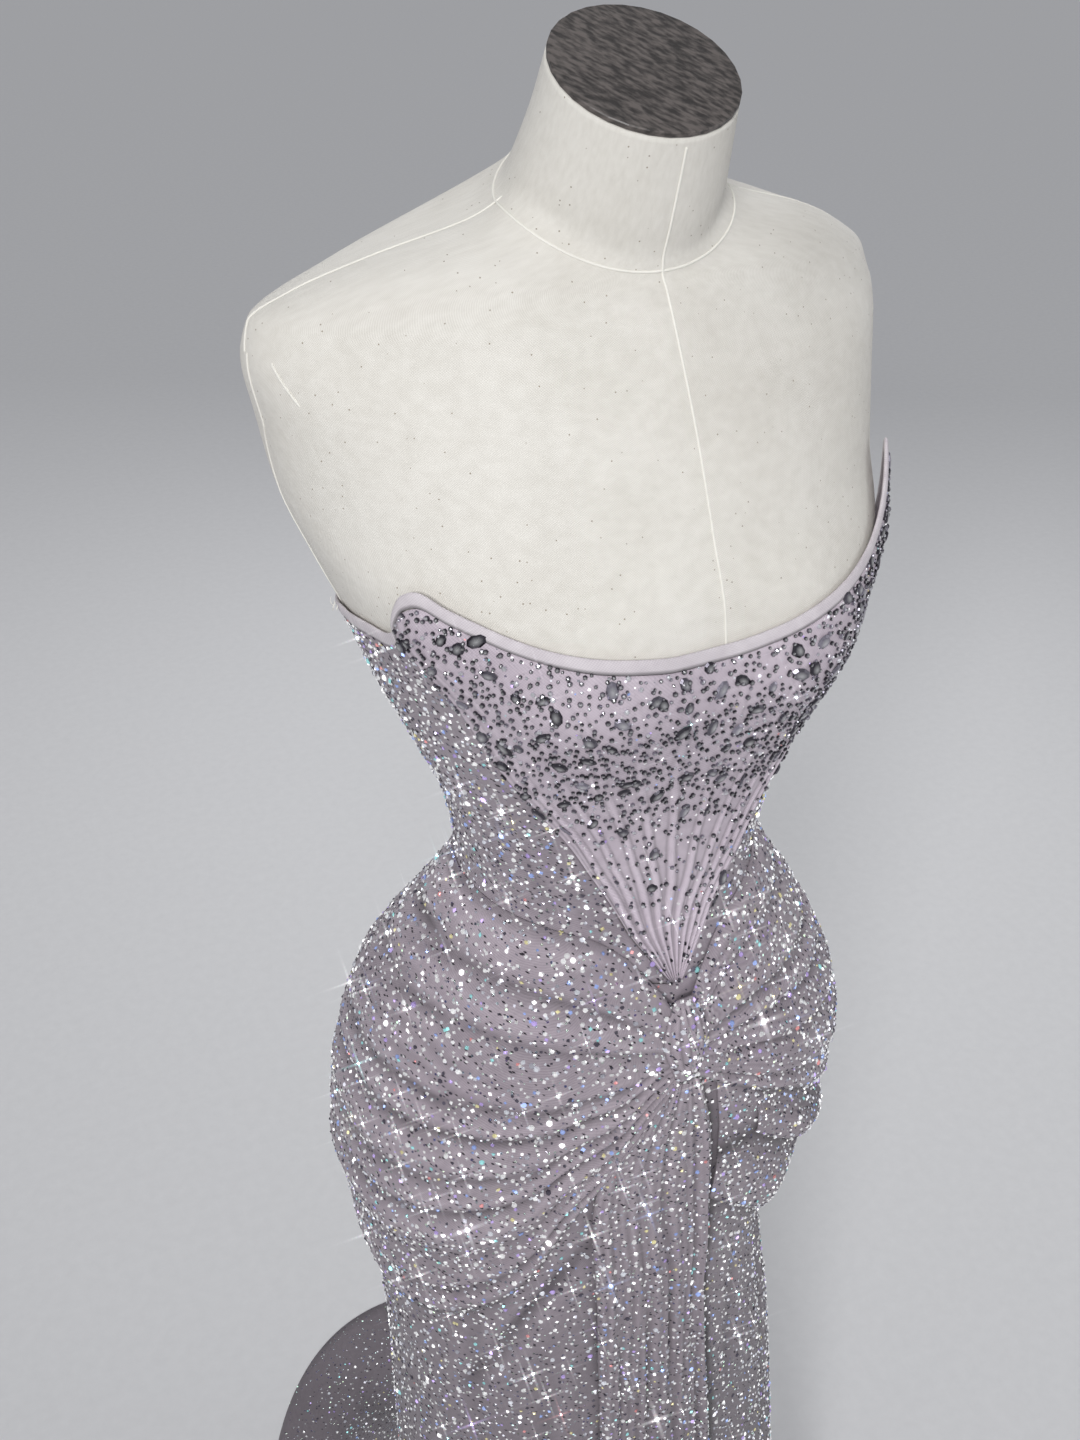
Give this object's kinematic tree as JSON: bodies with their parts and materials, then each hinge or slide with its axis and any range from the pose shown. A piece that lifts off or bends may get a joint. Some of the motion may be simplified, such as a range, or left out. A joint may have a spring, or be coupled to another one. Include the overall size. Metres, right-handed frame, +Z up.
{
  "type": "evening gown on a limbless dress form",
  "caption": "Strapless crystal evening gown: boned V front, neckline rising to points, draped hips knotted at the waist, train, worn by a limbless dress form on a stand.",
  "frame": {"origin": "on the floor, at the middle of the stand base's flat underside, straight under the pole", "axes": "+Z up the pole; the gown's front faces -Y; the wearer's left is +X; the train runs out along +Y"},
  "size_m": [0.5671, 0.7211, 1.5655],
  "materials": {
    "form_linen": "fine off-white linen",
    "cap_wood": "dark stained, satin",
    "stand_steel": "satin",
    "tulle": "fine pale lilac-grey net over bones",
    "crystal_cloth": "mauve-grey net covered in small crystals",
    "drape_cloth": "the same crystal net, pleated",
    "binding_cloth": "pale translucent folded strip",
    "zip_metal": "polished"
  },
  "bodies": {
    "gown_on_form": {"form_torso": "form_linen", "neck_cap": "cap_wood", "bottom_plate": "cap_wood", "stand_pole": "stand_steel", "stand_base": "stand_steel", "bodice_front_centre": "tulle", "bodice_side_right": "crystal_cloth", "bodice_side_left": "crystal_cloth", "bodice_back_right": "crystal_cloth", "bodice_back_left": "crystal_cloth", "binding_front": "binding_cloth", "binding_back_left": "binding_cloth", "binding_back_right": "binding_cloth", "skirt_front": "crystal_cloth", "skirt_back_left": "crystal_cloth", "skirt_back_right": "crystal_cloth", "skirt_drape_right": "drape_cloth", "cascade_upper": "drape_cloth", "cascade_middle": "drape_cloth", "cascade_lower": "drape_cloth", "front_tail": "drape_cloth", "drape_knot": "drape_cloth", "zip_chain": "zip_metal", "zip_slider": "zip_metal"},
    "zip_pull": {"zip_pull_tab": "zip_metal"}
  },
  "joints": [
    {"name": "zip_pull_hinge", "type": "hinge", "parent": "gown_on_form", "child": "zip_pull", "pos_m": [0, 0.11564, 1.2315], "axis": [1, 0, 0], "range_deg": [0, 150]}
  ]
}
